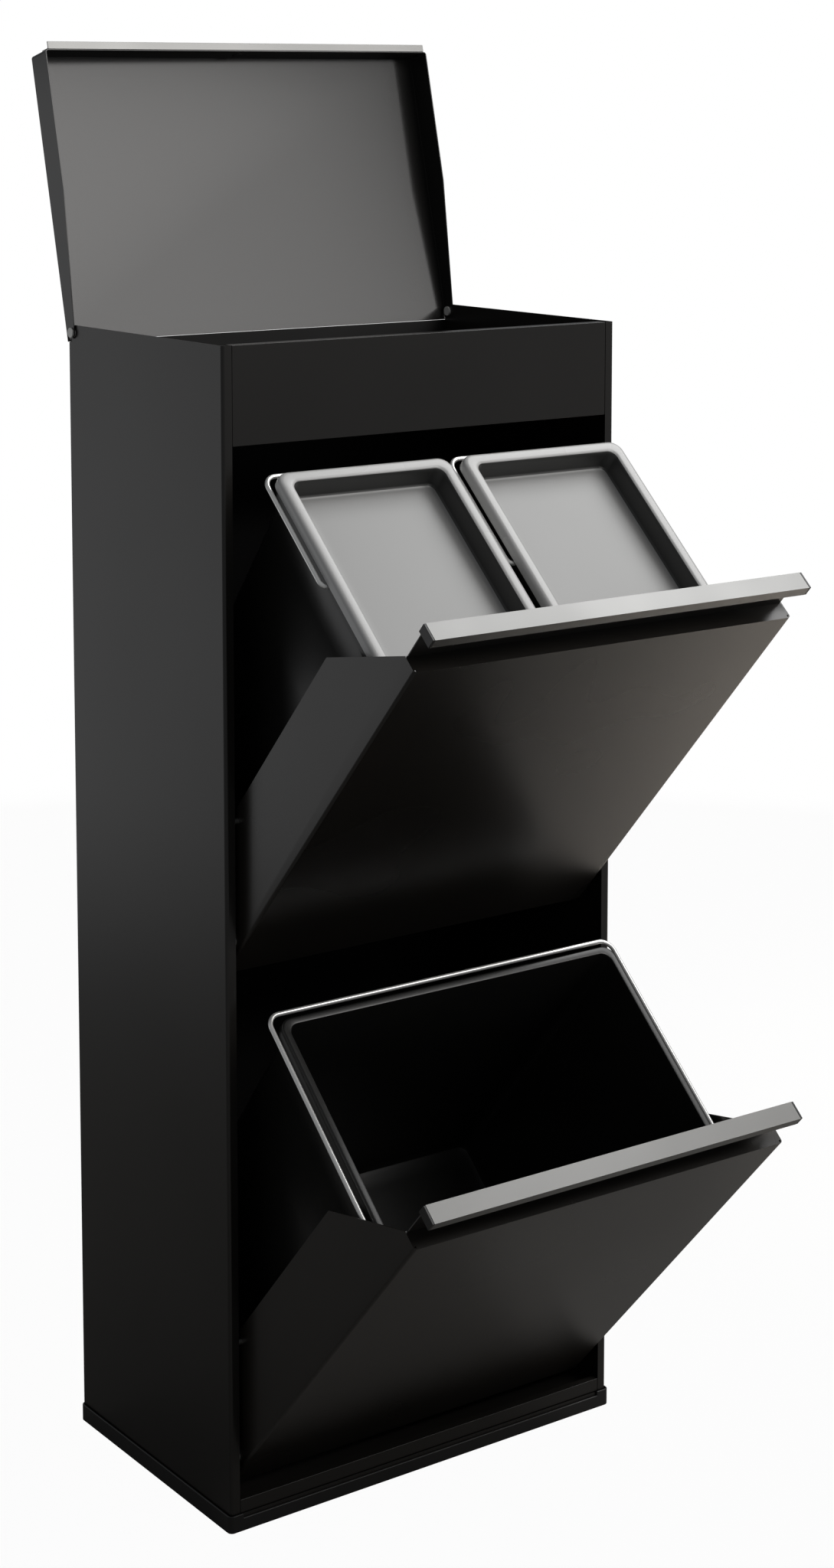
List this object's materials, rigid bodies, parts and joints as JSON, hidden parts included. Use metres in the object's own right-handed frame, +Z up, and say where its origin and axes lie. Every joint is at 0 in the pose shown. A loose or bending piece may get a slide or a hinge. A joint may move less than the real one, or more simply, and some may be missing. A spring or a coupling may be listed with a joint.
{
  "type": "tilt-out waste cabinet",
  "caption": "Tall black steel recycling cabinet with a raised hinged lid over a top compartment, and tilt-out drawers holding lidded and open lift-out bins.",
  "frame": {"origin": "middle of the footprint on the floor, on the underside of the base tray", "axes": "+X to the right seen from the front, -Y out of the front where the drawers tilt out, +Z up"},
  "size_m": [0.4314, 0.6095, 1.3072],
  "materials": {
    "black_steel": "satin black powder coat, lightly orange-peeled",
    "base_plastic": "moulded black plastic, fine grain",
    "handle_metal": "satin silver, drawn along its length",
    "cap_plastic": "moulded black plastic",
    "bin_plastic": "moulded black plastic, fine grain",
    "bin_lid_plastic": "moulded light grey plastic",
    "bail_wire": "bright zinc-plated wire",
    "bush_plastic": "white moulded plastic",
    "fastener_steel": "dark zinc plate",
    "pin_steel": "zinc plate",
    "bumper_rubber": "moulded rubber"
  },
  "bodies": {
    "cabinet": {"side_panel_left": "black_steel", "side_panel_right": "black_steel", "back_panel": "black_steel", "fascia_panel": "black_steel", "compartment_floor": "black_steel", "mid_brace": "black_steel", "bottom_panel": "black_steel", "base_tray": "base_plastic", "back_rivets": "fastener_steel", "lid_pivot_pins": "bush_plastic", "lid_pivot_washers": "bush_plastic", "upper_pivot_pins": "pin_steel", "lower_pivot_pins": "pin_steel"},
    "lid": {"lid_panel": "black_steel", "lid_grip_strip": "handle_metal", "lid_bumper": "bumper_rubber"},
    "upper_drawer": {"upper_door": "black_steel", "upper_handle": "handle_metal", "upper_handle_caps": "cap_plastic", "upper_handle_rivets": "fastener_steel", "upper_cradle": "black_steel", "upper_pivot_bushes": "bush_plastic", "upper_stop_studs": "pin_steel"},
    "lower_drawer": {"lower_door": "black_steel", "lower_handle": "handle_metal", "lower_handle_caps": "cap_plastic", "lower_handle_rivets": "fastener_steel", "lower_cradle": "black_steel", "lower_pivot_bushes": "bush_plastic", "lower_stop_studs": "pin_steel"},
    "left_bin": {"left_bin": "bin_plastic"},
    "right_bin": {"right_bin": "bin_plastic"},
    "large_bin": {"large_bin": "bin_plastic"},
    "left_bin_lid": {"left_bin_lid": "bin_lid_plastic"},
    "right_bin_lid": {"right_bin_lid": "bin_lid_plastic"},
    "left_bail": {"left_bail": "bail_wire"},
    "right_bail": {"right_bail": "bail_wire"},
    "large_bail": {"large_bail": "bail_wire"}
  },
  "joints": [
    {"name": "lid_hinge", "type": "hinge", "parent": "cabinet", "child": "lid", "pos_m": [0, 0.1255, 1.043], "axis": [-1, 0, 0], "range_deg": [-103.5, 0]},
    {"name": "upper_drawer_hinge", "type": "hinge", "parent": "cabinet", "child": "upper_drawer", "pos_m": [0, -0.1195, 0.532], "axis": [1, 0, 0], "range_deg": [-42, 0]},
    {"name": "lower_drawer_hinge", "type": "hinge", "parent": "cabinet", "child": "lower_drawer", "pos_m": [0, -0.1195, 0.0645], "axis": [1, 0, 0], "range_deg": [-42, 0]},
    {"name": "left_bin_lift", "type": "slide", "parent": "upper_drawer", "child": "left_bin", "axis": [0, -0.6691, 0.7431], "range_m": [0, 0.34]},
    {"name": "right_bin_lift", "type": "slide", "parent": "upper_drawer", "child": "right_bin", "axis": [0, -0.6691, 0.7431], "range_m": [0, 0.34]},
    {"name": "large_bin_lift", "type": "slide", "parent": "lower_drawer", "child": "large_bin", "axis": [0, -0.6691, 0.7431], "range_m": [0, 0.34]},
    {"name": "left_bin_lid_lift", "type": "slide", "parent": "left_bin", "child": "left_bin_lid", "axis": [0, -0.6691, 0.7431], "range_m": [0, 0.06]},
    {"name": "right_bin_lid_lift", "type": "slide", "parent": "right_bin", "child": "right_bin_lid", "axis": [0, -0.6691, 0.7431], "range_m": [0, 0.06]},
    {"name": "left_bail_swing", "type": "hinge", "parent": "left_bin", "child": "left_bail", "pos_m": [-0.09625, -0.24825, 0.85934], "axis": [1, 0, 0], "range_deg": [0, 95]},
    {"name": "right_bail_swing", "type": "hinge", "parent": "right_bin", "child": "right_bail", "pos_m": [0.09625, -0.24825, 0.85934], "axis": [1, 0, 0], "range_deg": [0, 95]},
    {"name": "large_bail_swing", "type": "hinge", "parent": "large_bin", "child": "large_bail", "pos_m": [0, -0.31227, 0.33419], "axis": [1, 0, 0], "range_deg": [0, 95]}
  ]
}
